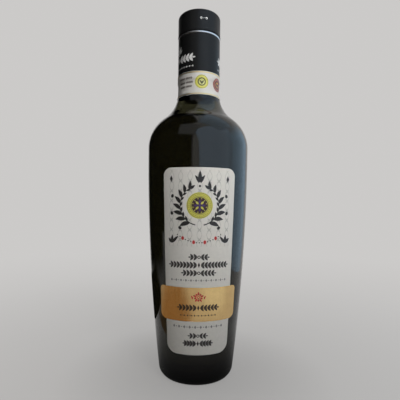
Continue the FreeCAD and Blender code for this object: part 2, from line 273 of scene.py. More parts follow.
class Flat:
    """Shapes drawn flat, across and up in millimetres, to be wrapped round the bottle."""

    def __init__(self):
        """An empty sheet."""
        self.sheet = bmesh.new()

    def polygon(self, points):
        """One face with any number of corners."""
        corners = [self.sheet.verts.new((x, y, 0)) for x, y in points]
        self.sheet.faces.new(corners)

    def ribbon(self, left, right, closed=False):
        """Quads between two rows of points."""
        rows = [[self.sheet.verts.new((x, y, 0)) for x, y in row] for row in (left, right)]
        count = len(left)
        for k in range(count if closed else count - 1):
            after = (k + 1) % count
            corners = (rows[0][k], rows[1][k], rows[1][after], rows[0][after])
            self.sheet.faces.new(corners)

    def ring(self, centre, inner, outer, count=48):
        """The area between two circles."""
        rows = [
            [turned_point(centre, radius, 0, angle) for angle in even_angles(count)]
            for radius in (inner, outer)
        ]
        self.ribbon(*rows, closed=True)

    def disc(self, centre, radius, count=24, stretch=1.0, turn=0.0):
        """A circle, or an ellipse stretched along its turn."""
        points = []
        for angle in even_angles(count):
            x, y = radius * stretch * math.cos(angle), radius * math.sin(angle)
            points.append(turned_point(centre, x, y, turn))
        self.polygon(points)

    def leaf(self, base, length, width, turn, bend=0.0):
        """A pointed leaf from its base, on a bent midrib."""
        left, right = [], []
        for k in range(LEAF_STEPS + 1):
            t = k / LEAF_STEPS
            half = width / 2 * math.sin(math.pi * t**LEAF_LEAN) ** LEAF_FULLNESS + LEAF_TIP
            sag = bend * length * math.sin(math.pi * t)
            left.append(turned_point(base, t * length, sag + half, turn))
            right.append(turned_point(base, t * length, sag - half, turn))
        self.ribbon(left, right)

    def stroke(self, points, start_width, end_width):
        """A line along points whose width changes evenly."""
        left, right = [], []
        for k, point in enumerate(points):
            before, after = points[max(k - 1, 0)], points[min(k + 1, len(points) - 1)]
            along = math.atan2(after[1] - before[1], after[0] - before[0])
            half = (start_width + (end_width - start_width) * k / (len(points) - 1)) / 2
            left.append(turned_point(point, 0, half, along))
            right.append(turned_point(point, 0, -half, along))
        self.ribbon(left, right)

    def lozenge(self, centre, width, height):
        """A diamond that stands on its point."""
        x, y = centre
        corners = [(x - width / 2, y), (x, y - height / 2), (x + width / 2, y), (x, y + height / 2)]
        self.polygon(corners)

    def wrapped(self, name, radius_at, turn, low, high, steps, relief=None):
        """A closed mesh from low to high over a turned surface, cut by steps across and up."""
        sheet = self.sheet
        for axis, step in enumerate(steps):
            values = [v.co[axis] for v in sheet.verts]
            first, last = math.floor(min(values) / step), math.floor(max(values) / step)
            for k in range(first, last + 1):
                at, normal = [0, 0, 0], [0, 0, 0]
                at[axis], normal[axis] = (k + CUT_OFFSET) * step, 1
                parts = sheet.verts[:] + sheet.edges[:] + sheet.faces[:]
                bmesh.ops.bisect_plane(sheet, geom=parts, plane_co=at, plane_no=normal, dist=SNAP)
        bottom = sheet.faces[:]
        raised = bmesh.ops.extrude_face_region(sheet, geom=bottom, use_keep_orig=True)
        top = {item for item in raised["geom"] if isinstance(item, bmesh.types.BMVert)}
        for vert in sheet.verts:
            across, level = vert.co.x, vert.co.y
            lift = low
            if vert in top:
                lift = high + (relief(across, level) if relief else 0)
            radius = radius_at(level)
            angle = turn + across / radius
            radius += lift
            vert.co = (radius * math.sin(angle), -radius * math.cos(angle), level)
        bmesh.ops.recalc_face_normals(sheet, faces=sheet.faces[:])
        mesh = bpy.data.meshes.new(name)
        sheet.to_mesh(mesh)
        sheet.free()
        return mesh


def turned_point(origin, x, y, turn):
    """A point at (x, y) from an origin, turned about it."""
    across = origin[0] + x * math.cos(turn) - y * math.sin(turn)
    up = origin[1] + x * math.sin(turn) + y * math.cos(turn)
    return across, up


def paper_outline(half_top, half_bottom, bottom, top, rounds, lift):
    """A sheet with rounded corners seen from the front, as points across the glass and up."""
    lean = math.atan((half_top - half_bottom) / (top - bottom))
    high, low = rounds
    high_across = half_top - high * (math.tan(lean) + 1 / math.cos(lean))
    low_across = half_bottom + low * (math.tan(lean) - 1 / math.cos(lean))
    right = arc((low_across, bottom + low), low, -math.pi / 2, -lean, 0.4)
    right += arc((high_across, top - high), high, -lean, math.pi / 2, 0.4)
    points = []
    for x, level in right + [(-x, level) for x, level in reversed(right)]:
        radius = side_radius(level)
        points.append((radius * math.asin(x / (radius + lift)), level))
    return points


# ---------------- materials
SOCKETS = {
    "ior": "IOR",
    "metallic": "Metallic",
    "specular": "Specular IOR Level",
    "transmission": "Transmission Weight",
}


def new_material(name, colour, roughness, **inputs):
    """A Principled material with its plain values set on the shader itself."""
    material = bpy.data.materials.new(name)
    material.use_nodes = True
    shader = material.node_tree.nodes["Principled BSDF"]
    shader.inputs["Base Color"].default_value = (*colour, 1)
    shader.inputs["Roughness"].default_value = roughness
    for key, value in inputs.items():
        shader.inputs[SOCKETS[key]].default_value = value
    return material, material.node_tree, shader


def noise(tree, scale, detail=3.0, stretch=(1, 1, 1), roughness=0.55):
    """Noise over the object's own coordinates. The scale is in features per metre."""
    place = tree.nodes.new("ShaderNodeTexCoord")
    spread = tree.nodes.new("ShaderNodeMapping")
    spread.inputs["Scale"].default_value = stretch
    texture = tree.nodes.new("ShaderNodeTexNoise")
    texture.inputs["Scale"].default_value = scale
    texture.inputs["Detail"].default_value = detail
    texture.inputs["Roughness"].default_value = roughness
    tree.links.new(place.outputs["Object"], spread.inputs["Vector"])
    tree.links.new(spread.outputs["Vector"], texture.inputs["Vector"])
    return texture.outputs["Fac"]


def vary(tree, factor, socket, low, high):
    """Run a colour or a value between two ends by a factor, over the middle of noise's spread."""
    ramp = tree.nodes.new("ShaderNodeValToRGB")
    for end, position, value in zip(ramp.color_ramp.elements, (0.35, 0.65), (low, high)):
        end.position = position
        end.color = (*value, 1) if isinstance(value, tuple) else (value, value, value, 1)
    tree.links.new(factor, ramp.inputs["Fac"])
    tree.links.new(ramp.outputs["Color"], socket)


def bump(tree, shader, factor, distance, strength=1.0):
    """Fine relief by a factor. The distance is in metres."""
    node = tree.nodes.new("ShaderNodeBump")
    node.inputs["Distance"].default_value = distance
    node.inputs["Strength"].default_value = strength
    tree.links.new(factor, node.inputs["Height"])
    tree.links.new(node.outputs["Normal"], shader.inputs["Normal"])


def shade(colour, factor):
    """A darker or lighter tone of a colour."""
    return tuple(min(1.0, part * factor) for part in colour)


def glass_material():
    """Very dark olive glass: a light tint at each face and most of the colour in its thickness."""
    material, tree, shader = new_material(
        "dark_glass", (0.48, 0.475, 0.42), 0.02, transmission=1.0, ior=1.48
    )
    vary(tree, noise(tree, 30, 1.0), shader.inputs["Roughness"], 0.015, 0.035)
    bump(tree, shader, noise(tree, 42, 0.0, (1, 1, 0.4)), 0.0010, 0.10)
    depth = tree.nodes.new("ShaderNodeVolumeAbsorption")
    depth.inputs["Color"].default_value = (0.41, 0.41, 0.27, 1)
    depth.inputs["Density"].default_value = 300
    tree.links.new(depth.outputs[0], tree.nodes["Material Output"].inputs["Volume"])
    return material


def oil_material():
    """Olive oil as it looks in quantity: deep amber green, a little cloudy."""
    colour = (0.075, 0.063, 0.012)
    material, tree, shader = new_material("oil", colour, 0.02, transmission=0.9, ior=1.47)
    vary(tree, noise(tree, 35), shader.inputs["Base Color"], colour, shade(colour, 0.85))
    return material


def lacquer_material():
    """Black lacquer over drawn aluminium."""
    colour = (0.010, 0.010, 0.010)
    material, tree, shader = new_material("black_lacquer", colour, 0.34, specular=0.18)
    vary(tree, noise(tree, 900, 4.0, (1, 1, 0.08)), shader.inputs["Roughness"], 0.29, 0.39)
    bump(tree, shader, noise(tree, 5200, 2.0), 0.00002, 0.35)
    return material


def metal_material(name, colour, low, high, stretch, scale):
    """Bare or printed metal whose gloss is streaked along one way, from low to high roughness."""
    material, tree, shader = new_material(name, colour, low, metallic=1.0)
    streaks = noise(tree, scale, 4.0, stretch)
    vary(tree, streaks, shader.inputs["Roughness"], low, high)
    vary(tree, noise(tree, 260, 3.0), shader.inputs["Base Color"], shade(colour, 0.93), colour)
    bump(tree, shader, noise(tree, 900, 2.0), 0.00001, 0.3)
    return material


def paper_material(name, colour):
    """Uncoated paper: soft cloudy tone, fibres in the relief."""
    material, tree, shader = new_material(name, colour, 0.55, specular=0.35)
    vary(tree, noise(tree, 420, 5.0), shader.inputs["Base Color"], shade(colour, 0.95), colour)
    bump(tree, shader, noise(tree, 3800, 5.0, (1, 1, 1.8)), 0.00005, 0.5)
    return material


def ink_material(name, colour, roughness=0.4):
    """Printing ink, a little uneven in depth and gloss."""
    material, tree, shader = new_material(name, colour, roughness)
    vary(tree, noise(tree, 1500, 4.0), shader.inputs["Base Color"], shade(colour, 0.85), colour)
    vary(tree, noise(tree, 2600), shader.inputs["Roughness"], roughness * 0.85, roughness * 1.15)
    bump(tree, shader, noise(tree, 4200, 3.0), 0.00003, 0.3)
    return material


DARK_GLASS = glass_material()
OIL = oil_material()
LACQUER = lacquer_material()
SILVER = metal_material("silver", (0.66, 0.66, 0.67), 0.26, 0.36, (1, 1, 30), 300)
FOIL = metal_material("gold_foil", (0.80, 0.55, 0.25), 0.18, 0.27, (1, 1, 0.06), 700)
GOLD_EDGE = metal_material("gold_edge", (0.78, 0.60, 0.30), 0.3, 0.4, (1, 1, 0.2), 1500)
PAPER_WHITE = paper_material("label_paper", (0.75, 0.725, 0.67))
COLLAR_WHITE = paper_material("collar_paper", (0.66, 0.635, 0.59))
PALE_INK = ink_material("ink_pale", (0.52, 0.51, 0.46), 0.5)
BLACK_INK = ink_material("ink_black", (0.020, 0.017, 0.016))
SOFT_INK = ink_material("ink_soft", (0.045, 0.038, 0.036))
GREY_INK = ink_material("ink_grey", (0.26, 0.25, 0.24))
UMBER_INK = ink_material("ink_umber", (0.15, 0.125, 0.11))
RED_INK = ink_material("ink_red", (0.55, 0.045, 0.040))
YELLOW_INK = ink_material("ink_yellow", (0.66, 0.62, 0.10))
VIOLET_INK = ink_material("ink_violet", (0.055, 0.030, 0.160))
MAROON_INK = ink_material("ink_maroon", (0.040, 0.012, 0.020))
BROWN_INK = ink_material("ink_brown", (0.050, 0.028, 0.012))
ORANGE_INK = ink_material("ink_orange", (0.60, 0.30, 0.07))
BRICK_INK = ink_material("ink_brick", (0.36, 0.12, 0.08))
OLIVE_INK = ink_material("ink_olive", (0.085, 0.085, 0.020))
LEMON_INK = ink_material("ink_lemon", (0.62, 0.62, 0.22))
WHITE_INK = ink_material("ink_white", (0.80, 0.80, 0.78), 0.5)


# ---------------- glass and oil
SEAM_HEIGHT = 0.10
SEAM_HALF = 0.35
SEAM_ANGLES = (math.pi / 2, 3 * math.pi / 2)
SEAM_STEP = 0.45  # degrees between the extra points across a seam
GLASS_SEGMENTS = 192
TURNED_SEGMENTS = 144


def seam(angle, radius, level):
    """The mould's joint: a fine ridge up both sides, from the heel to the mouth."""
    if level < HEEL_RADIUS or radius < NECK_RADIUS - LIP_ROUND:
        return 0
    off = min(abs(angle - at) for at in SEAM_ANGLES) * radius
    fade = min(1, (level - HEEL_RADIUS) / HEEL_RADIUS)
    return SEAM_HEIGHT * fade * math.exp(-((off / SEAM_HALF) ** 2))


def make_glass():
    """Hollow bottle in one closed skin, whose outside alone has the seams."""
    lip = lip_outline()
    crest = len(lip) // 2
    outer = outline(outside_outline(), lip[:crest])
    inner = outline(lip[crest:], inside_outline())
    near_seams = [
        at + math.radians(k * SEAM_STEP) for at in SEAM_ANGLES for k in (-3, -2, -1, 1, 2, 3)
    ]

    def outer_seam(place, angle, radius, level):
        """The seam on the outside's rings, and nothing on the inside's."""
        return seam(angle, radius, level) if place < len(outer) else 0

    angles = sorted(even_angles(GLASS_SEGMENTS) + near_seams)
    shell = lathe("glass_shell", outer + inner, angles, swell=outer_seam)
    finish_piece(shell, "glass_shell", DARK_GLASS, ["glass_bottle"], 60)


SURFACE_CLIMB = 5.0  # from the wall, where the oil's surface is cut finely
SURFACE_STEPS = (0.5, 2.0)  # in the climb, and inside it
SURFACE_MIDDLE = 0.6


def oil_outline():
    """The inside, a little into the wall, under a surface that climbs at the glass."""
    space = inside_outline(OIL_REACH)
    edge = OIL_LEVEL + MENISCUS_HEIGHT
    above = [point for point in space if point[1] >= edge]
    below = [point for point in space if point[1] < edge]
    last, first = above[-1], below[0]
    share = (edge - first[1]) / (last[1] - first[1])
    wall_radius = first[0] + (last[0] - first[0]) * share
    surface = []
    radius = wall_radius
    while radius > SURFACE_MIDDLE:
        rise = MENISCUS_HEIGHT * math.exp((radius - wall_radius) / MENISCUS_WIDTH)
        surface.append((radius, OIL_LEVEL + rise))
        radius -= SURFACE_STEPS[0] if wall_radius - radius < SURFACE_CLIMB else SURFACE_STEPS[1]
    return [(0, OIL_LEVEL), *reversed(surface), *below]


def make_oil():
    """The contents as one closed body under its surface."""
    profile = list(reversed(oil_outline()))
    mesh = lathe("oil_fill", profile, even_angles(TURNED_SEGMENTS))
    finish_piece(mesh, "oil_fill", OIL, ["olive_oil"], 60)


STIPPLES = 64
STIPPLE_ANGLE = math.radians(-58)  # on the heel's round, from level
STIPPLE_HALVES = (0.35, 1.3, 0.16)  # round the foot, up the heel, off the glass


def make_stipples():
    """Small raised grip marks in a ring round the foot, just above the standing edge."""
    marks = bmesh.new()
    across = HEEL_CENTRE + HEEL_RADIUS * math.cos(STIPPLE_ANGLE)
    level = HEEL_RADIUS * (1 + math.sin(STIPPLE_ANGLE))
    lean = Matrix.Rotation(math.pi / 2 - STIPPLE_ANGLE, 4, "X")
    size = Matrix.Diagonal((*STIPPLE_HALVES, 1))
    for angle in even_angles(STIPPLES):
        place = Matrix.Rotation(angle, 4, "Z") @ Matrix.Translation((0, -across, level))
        bmesh.ops.create_uvsphere(
            marks, u_segments=10, v_segments=6, radius=1, matrix=place @ lean @ size
        )
    mesh = bpy.data.meshes.new("foot_marks")
    marks.to_mesh(mesh)
    marks.free()
    finish_piece(mesh, "foot_marks", DARK_GLASS, sharp=80)


# ---------------- closure
def make_cap():
    """Deep drawn cup with a rounded crown, a shallow step on top and a rolled rim."""
    inner_round = 1.2
    rim = 0.45
    rim_inset = 0.3
    groove = 0.15
    crown_edge = CAP_RADIUS - CAP_ROUND
    crease = 0.12
    profile = outline(
        [(0, MOUTH_LEVEL)],
        arc((CLOSURE_BORE - inner_round, MOUTH_LEVEL - inner_round), inner_round, math.pi / 2, 0, 0.3),
        [(CLOSURE_BORE, CAP_BOTTOM)],
        arc((CAP_RADIUS - rim_inset, CAP_BOTTOM + rim), rim, -math.pi / 2, math.pi / 2, 0.12),
        arc(
            (CAP_RADIUS + groove, CAP_BOTTOM + 2 * rim + groove), groove, -math.pi / 2, -math.pi, 0.1
        ),
        arc((crown_edge, CAP_TOP - CAP_ROUND), CAP_ROUND, 0, math.pi / 2, 0.25),
        arc((crown_edge - 1.2, CAP_TOP - crease), crease, math.pi / 2, math.pi, 0.05),
        [(crown_edge - 1.5, CAP_TOP - 0.15), (0, CAP_TOP - 0.10)],
    )
    mesh = lathe("closure_cap", profile, even_angles(TURNED_SEGMENTS))
    finish_piece(mesh, "closure_cap", LACQUER, ["screw_cap"], 50)


def make_tear_ring():
    """Bright rounded ring between the cap and the sleeve."""
    middle = (TEAR_BOTTOM + CAP_BOTTOM) / 2
    half = (CAP_BOTTOM - TEAR_BOTTOM) / 2
    bulge_radius = 1.10
    bulge_turn = 0.55
    bulge_centre = (CLOSURE_BORE - 0.75, middle)
    bulge = arc(bulge_centre, bulge_radius, -bulge_turn, bulge_turn, 0.1)
    profile = outline([(CLOSURE_BORE, middle - half)], bulge, [(CLOSURE_BORE, middle + half)])
    mesh = lathe("closure_ring", profile, even_angles(TURNED_SEGMENTS), closed=True)
    finish_piece(mesh, "closure_ring", SILVER, ["tear_ring"], 50)


def make_sleeve():
    """Long skirt of the closure, drawn in under the ring and cut square at its lower edge."""
    top = TEAR_BOTTOM
    edge = 0.08
    shoulder = 0.5
    profile = outline(
        [(CLOSURE_BORE, top), (CLOSURE_BORE, SLEEVE_BOTTOM)],
        arc((SLEEVE_RADIUS - edge, SLEEVE_BOTTOM + edge), edge, -math.pi / 2, 0, edge / 2),
        [(SLEEVE_RADIUS, top - 1.0)],
        arc((SLEEVE_RADIUS - shoulder, top - 0.75), shoulder, 0, math.pi / 3, 0.1),
        [(SLEEVE_RADIUS - 0.2, top)],
    )
    mesh = lathe("closure_sleeve", profile, even_angles(TURNED_SEGMENTS), closed=True)
    finish_piece(mesh, "closure_sleeve", LACQUER, ["cap_sleeve"], 50)


# ---------------- papers
LABEL_FACE = GLUE + PAPER
BAND_FACE = LABEL_FACE + GLUE + PAPER
PAPER_UNDERSIDE = 0.01
BAND_UNDERSIDE = 0.02
LABEL_STEPS = (1.0, 2.5)
BAND_STEPS = (0.8, 1.0)
FOIL_WAVE = 0.018
COLLAR_RINGS = 40


def make_front_label():
    """Paper with rounded corners on the side of the glass."""
    sheet = Flat()
    edge = (LABEL_HALF_TOP, LABEL_HALF_BOTTOM, LABEL_BOTTOM, LABEL_TOP, LABEL_ROUNDS, LABEL_FACE)
    sheet.polygon(paper_outline(*edge))
    about = (side_radius, LABEL_TURN)
    mesh = sheet.wrapped("label_sheet", *about, PAPER_UNDERSIDE, LABEL_FACE, LABEL_STEPS)
    finish_piece(mesh, "label_sheet", PAPER_WHITE, ["front_label"])


def make_band():
    """Metal foil over the label, a little uneven as such foil is."""
    sheet = Flat()
    edge = (BAND_HALF_TOP, BAND_HALF_BOTTOM, BAND_BOTTOM, BAND_TOP, BAND_ROUNDS, BAND_FACE)
    sheet.polygon(paper_outline(*edge))
    about = (side_radius, LABEL_TURN)
    mesh = sheet.wrapped("foil_band", *about, BAND_UNDERSIDE, BAND_FACE, BAND_STEPS, foil_relief)
    finish_piece(mesh, "foil_band", FOIL, ["gold_band"])


def foil_relief(across, level):
    """Slow waves of a thin foil that was smoothed on by machine."""
    return FOIL_WAVE * math.sin(across / 2.9 + 0.4) * math.sin(level / 7.3) - FOIL_WAVE


def make_collar():
    """Paper round the neck, over the sweep of the glass and the sleeve's lower edge."""
    height = COLLAR_TOP - COLLAR_BOTTOM
    levels = [COLLAR_BOTTOM + height * k / COLLAR_RINGS for k in range(COLLAR_RINGS + 1)]
    inner = [(collar_radius(level) + PAPER_UNDERSIDE, level) for level in levels]
    outer = [(collar_radius(level) + LABEL_FACE, level) for level in levels]
    profile = list(reversed(inner)) + outer
    mesh = lathe("collar_sheet", profile, even_angles(TURNED_SEGMENTS), closed=True)
    finish_piece(mesh, "collar_sheet", COLLAR_WHITE, ["neck_label"])


# ---------------- prints
SEAL_LEVEL = 124.0  # of the front label's seal and of the wreath and lattice about it
PRINT_STEPS = (1.5, 8.0)
ON_SIDE = (side_radius, LABEL_TURN)


def print_on(flat, name, face, ink, proud=INK, about=ON_SIDE, steps=PRINT_STEPS):
    """Wrap a print on a face that stands so far off the surface."""
    mesh = flat.wrapped(name, *about, face - INK_ROOT, face + proud, steps)
    finish_piece(mesh, name, ink, sharp=50)


def garland(flat, level, width, height, core="lozenge"):
    """A running row of leaf pairs that part from its middle, as tall as the row."""
    splay = 0.80
    pairs = max(2, round((width / 2 - 0.5 * height) / (0.52 * height)))
    pitch = (width / 2 - 0.62 * height) / pairs
    for side in (1, -1):
        stem = [(side * width * 0.47 * k / 12, level) for k in range(1, 13)]
        flat.stroke(stem, 0.10 * height, 0.05 * height)
        for k in range(pairs):
            base = (side * (0.30 * height + k * pitch), level)
            for up in (1, -1):
                turn = up * splay if side > 0 else math.pi - up * splay
                flat.leaf(base, 0.68 * height, 0.33 * height, turn, -side * up * 0.08)
        tip = (side * (width / 2 - 0.45 * height), level)
        flat.leaf(tip, 0.45 * height, 0.20 * height, 0 if side > 0 else math.pi)
    if core == "lozenge":
        flat.lozenge((0, level), 0.34 * height, 0.78 * height)
    else:
        flat.ring((0, level), 0.12 * height, 0.25 * height, 24)


def beads(flat, level, width, height):
    """A fine row of lozenges with a dot between each two."""
    count = round(width / (1.7 * height))
    for k in range(2 * count + 1):
        x = width * (k / (2 * count) - 0.5)
        if k % 2:
            flat.disc((x, level), 0.17 * height, 10)
        else:
            flat.lozenge((x, level), 0.75 * height, height)


def make_filigree():
    """Pale ogee lattice over the label's upper part, with a small leaf cross in each mesh."""
    flat = Flat()
    pitch, sway, line = 6.4, 1.6, 0.22
    low, high = 97.0, LABEL_TOP - 1.6
    limit = LABEL_HALF_TOP - 2
    steps = 60
    levels = [low + (high - low) * k / steps for k in range(steps + 1)]
    for column in range(-3, 4):
        for side in (1, -1):
            points = []
            for level in levels:
                swing = side * sway * math.cos(math.pi * (level - SEAL_LEVEL) / pitch)
                points.append((column * pitch + swing, level))
            points = [point for point in points if abs(point[0]) < limit]
            flat.stroke(points, line, line)
    for column in range(-3, 4):
        for rank in range(-4, 4):
            level = SEAL_LEVEL + (rank + 0.5) * pitch
            if not low + 1 < level < high - 1:
                continue
            for quarter in range(4):
                turn = quarter * math.pi / 2 + math.pi / 4
                flat.leaf((column * pitch, level), 1.7, 0.7, turn)
    print_on(flat, "label_filigree", LABEL_FACE, PALE_INK, proud=0.015)


def branch(flat, berries, side):
    """Half of a wreath: an arching stem, leaves set in turn on its two sides, and a few olives."""
    radius, first, last = 13.0, math.radians(-78), math.radians(56)
    count = 8

    def along(k, out=0.0):
        """A spot so many leaves along the stem and so far out from it, and the stem's heading."""
        angle = first + (last - first) * k / count
        reach = radius + out
        spot = (side * reach * math.cos(angle), SEAL_LEVEL + reach * math.sin(angle))
        return spot, angle + math.pi / 2

    def facing(turn):
        """The turn itself on the right half, and its mirror image on the left one."""
        return turn if side > 0 else math.pi - turn

    flat.stroke([along(k / 5)[0] for k in range(5 * count + 1)], 0.75, 0.35)
    for k in range(1, count + 1):
        size = 1 - 0.30 * k / count
        spot, heading = along(k)
        flat.leaf(spot, 7.6 * size, 3.0 * size, facing(heading - 0.80), side * 0.08)
        if k < count:
            spot, heading = along(k + 0.5)
            flat.leaf(spot, 3.9 * size, 1.8 * size, facing(heading + 0.55), -side * 0.06)
    spot, heading = along(count)
    flat.leaf(spot, 4.8, 1.9, facing(heading + 0.05), side * 0.05)
    for k in (1.75, 3.75, 5.75):
        spot, heading = along(k, 6.6)
        berries.disc(spot, 1.0, 20, 1.25, facing(heading))


PALMETTE_LEVEL = 137.6
SWAG_LEVEL = 99.6
SWAG_HALF = 14.6
SWAG_RISE = 5.2
SWAG_BEADS = 17


def make_wreath():
    """Olive branches round the seal, a palmette above and a beaded swag below."""
    flat, olives, red = Flat(), Flat(), Flat()
    for side in (1, -1):
        branch(flat, olives, side)
    for k in range(-1, 2):
        turn = math.pi / 2 - 0.50 * k
        base = turned_point((0, PALMETTE_LEVEL), 1.2, 0, turn)
        flat.leaf(base, 8.0 - 2.2 * abs(k), 2.5 - 0.6 * abs(k), turn, 0.08 * k)
    olives.disc((0, PALMETTE_LEVEL - 1.0), 0.75, 18)
    for side in (1, -1):
        flat.lozenge((side * 19.6, 141.5), 2.2, 4.6)
        corner = (side * 18.3, SWAG_LEVEL - 0.4)
        for k in range(3):
            flat.leaf(corner, 6.4 - k, 1.9, math.pi / 2 - side * (0.75 * k - 0.75), 0.04)
    for k in range(SWAG_BEADS):
        t = 2 * k / (SWAG_BEADS - 1) - 1
        spot = (SWAG_HALF * t, SWAG_LEVEL + SWAG_RISE * t * t)
        if k % 4 == 2:
            red.disc(spot, 0.95, 20, 1.35, math.pi / 2)
        else:
            olives.disc(spot, 0.42, 14)
    print_on(flat, "label_wreath", LABEL_FACE, BLACK_INK)
    print_on(olives, "label_olives", LABEL_FACE, BLACK_INK, proud=INK + 0.012)
    print_on(red, "label_red_beads", LABEL_FACE, RED_INK)


def toothed(centre, radius, depth, teeth, steps=6):
    """A round outline with small rounded teeth."""
    angles = even_angles(teeth * steps)
    return [turned_point(centre, radius + depth * math.cos(teeth * a), 0, a) for a in angles]


def make_seal():
    """A plain round seal: toothed yellow disc, dark disc in it and a rosette of petals."""
    centre = (0, SEAL_LEVEL)
    disc, lines, dark, petals, heart = Flat(), Flat(), Flat(), Flat(), Flat()
    disc.polygon(toothed(centre, 8.65, 0.16, 44))
    lines.ring(centre, 7.98, 8.22, 64)
    lines.ring(centre, 5.90, 6.14, 64)
    for angle in even_angles(32):
        lines.disc(turned_point(centre, 7.1, 0, angle), 0.27, 10)
    dark.disc(centre, 5.4, 48)
    for k in range(12):
        angle = 2 * math.pi * (k + 0.5) / 12
        petals.disc(turned_point(centre, 4.55, 0, angle), 0.36, 10)
    for k, angle in enumerate(even_angles(8)):
        rosette = petals if k % 2 else heart
        rosette.leaf(turned_point(centre, 1.1, 0, angle), 2.75, 1.35, angle)
    heart.disc(centre, 0.85, 18)
    print_on(disc, "seal_disc", LABEL_FACE, YELLOW_INK, proud=0.05)
    print_on(lines, "seal_lines", LABEL_FACE, SOFT_INK, proud=0.065)
    print_on(dark, "seal_dark", LABEL_FACE, MAROON_INK, proud=0.07)
    print_on(petals, "seal_petals", LABEL_FACE, YELLOW_INK, proud=0.085)
    print_on(heart, "seal_heart", LABEL_FACE, VIOLET_INK, proud=0.085)


def make_label_rows():
    """Rows of leaves in dark ink and of fine beads in grey, where a label carries its text."""
    dark, grey = Flat(), Flat()
    garland(dark, 90.1, 14.5, 4.5, "ring")
    garland(dark, 84.8, 42.0, 4.7)
    garland(dark, 79.5, 24.0, 4.5, "ring")
    beads(grey, 74.6, 37.0, 1.9)
    beads(grey, 43.0, 33.0, 2.2)
    garland(dark, 37.0, 14.0, 4.2, "ring")
    garland(dark, 31.7, 21.0, 4.5)
    print_on(dark, "label_rows_dark", LABEL_FACE, SOFT_INK)
    print_on(grey, "label_rows_grey", LABEL_FACE, GREY_INK)


def make_band_prints():
    """On the foil: a red rosette, a dark row of leaves and a fine row under it."""
    red, dark = Flat(), Flat()
    centre = (0, 63.4)
    for k in range(10):
        angle = 2 * math.pi * k / 10 + math.pi / 2
        length = 2.5 if k % 2 == 0 else 1.8
        red.leaf(turned_point(centre, 1.25, 0, angle), length, 1.15, angle)
    red.ring(centre, 0.55, 0.95, 24)
    for side in (1, -1):
        red.leaf((side * 3.9, centre[1] - 1.4), 2.6, 0.9, math.pi / 2 - side * 0.35, side * 0.1)
    garland(dark, 56.2, 29.0, 4.6)
    beads(dark, 51.0, 23.0, 1.4)
    print_on(red, "band_rosette", BAND_FACE - FOIL_WAVE, RED_INK, proud=0.05)
    print_on(dark, "band_rows", BAND_FACE - FOIL_WAVE, BROWN_INK, proud=0.05)


COLLAR_STEPS = (1.2, 0.6)
COLLAR_MIDDLE = 212.4


def print_on_collar(flat, name, degrees, ink, proud=INK):
    """Wrap a print on the neck label with its middle at an angle from the front."""
    about = (collar_radius, math.radians(degrees))
    print_on(flat, name, LABEL_FACE, ink, proud, about, COLLAR_STEPS)


def small_seal(name, degrees, rim, field, heart):
    """A ringed round mark on the neck label with a leaf pair in its middle, in three inks."""
    disc, dark, middle, leaf = Flat(), Flat(), Flat(), Flat()
    radius = 4.9
    centre = (0, COLLAR_MIDDLE)
    disc.polygon(toothed(centre, radius, 0.07, 30))
    dark.ring(centre, radius * 0.90, radius * 0.94, 40)
    dark.disc(centre, radius * 0.60, 30)
    middle.disc(centre, radius * 0.44, 24)
    for side in (1, -1):
        base = (0, COLLAR_MIDDLE - radius * 0.34)
        leaf.leaf(base, radius * 0.66, radius * 0.24, math.pi / 2 - side * 0.55, side * 0.1)
    layers = (
        (disc, "disc", rim),
        (dark, "ring", field),
        (middle, "middle", heart),
        (leaf, "leaf", field),
    )
    for step, (flat, part, ink) in enumerate(layers):
        print_on_collar(flat, f"{name}_{part}", degrees, ink, INK + 0.015 * step)


def collar_line(name, low):
    """A gold line all round the neck label, from a level up."""
    width = 0.9
    levels = [low + width * k / 4 for k in range(5)]
    inner = [(collar_radius(level) + LABEL_FACE - INK_ROOT, level) for level in levels]
    outer = [(collar_radius(level) + LABEL_FACE + 0.02, level) for level in levels]
    mesh = lathe(name, list(reversed(inner)) + outer, even_angles(TURNED_SEGMENTS), closed=True)
    finish_piece(mesh, name, GOLD_EDGE, sharp=50)


def make_collar_prints():
    """Gold lines, three fine rows and two small seals on the neck label, front and back alike."""
    collar_line("collar_edge_low", COLLAR_BOTTOM + 0.3)
    collar_line("collar_edge_high", COLLAR_TOP - 1.2)
    for half, turn in (("front", 0), ("back", 180)):
        rows = Flat()
        garland(rows, COLLAR_MIDDLE + 2.9, 12.0, 1.8)
        garland(rows, COLLAR_MIDDLE, 12.6, 1.8, "ring")
        garland(rows, COLLAR_MIDDLE - 2.9, 11.0, 1.8)
        print_on_collar(rows, f"collar_rows_{half}", turn - 38, UMBER_INK)
        small_seal(f"collar_mark_{half}", turn + 8, YELLOW_INK, OLIVE_INK, LEMON_INK)
        small_seal(f"collar_star_{half}", turn + 60, BRICK_INK, MAROON_INK, ORANGE_INK)


def make_sleeve_prints():
    """White sprigs on two sides of the closure's skirt."""
    row, bead_row, ring_level = 230.1, 223.9, 234.4
    for name, turn in (("sleeve_print_left", -66), ("sleeve_print_right", 114)):
        white = Flat()
        garland(white, row, 31.0, 6.0)
        beads(white, bead_row, 27.0, 1.5)
        for k in range(-2, 3):
            length = 6.2 - 0.9 * abs(k)
            white.leaf((0, ring_level + 1.0), length, 1.6, math.pi / 2 - 0.55 * k, -0.05 * k)
        white.ring((0, ring_level), 0.5, 0.8, 20)
        about = (lambda level: SLEEVE_RADIUS, math.radians(turn))
        print_on(white, name, 0.0, WHITE_INK, about=about)


def make_cap_mark():
    """A dot between two tiny rings on the cap."""
    level = 257.7
    mark = Flat()
    for side in (-1, 1):
        mark.ring((1.9 * side, level), 0.35, 0.8, 20)
    mark.disc((0, level), 0.35, 14)
    about = (lambda level: CAP_RADIUS, math.radians(11.5))
    print_on(mark, "cap_mark", 0.0, WHITE_INK, about=about)


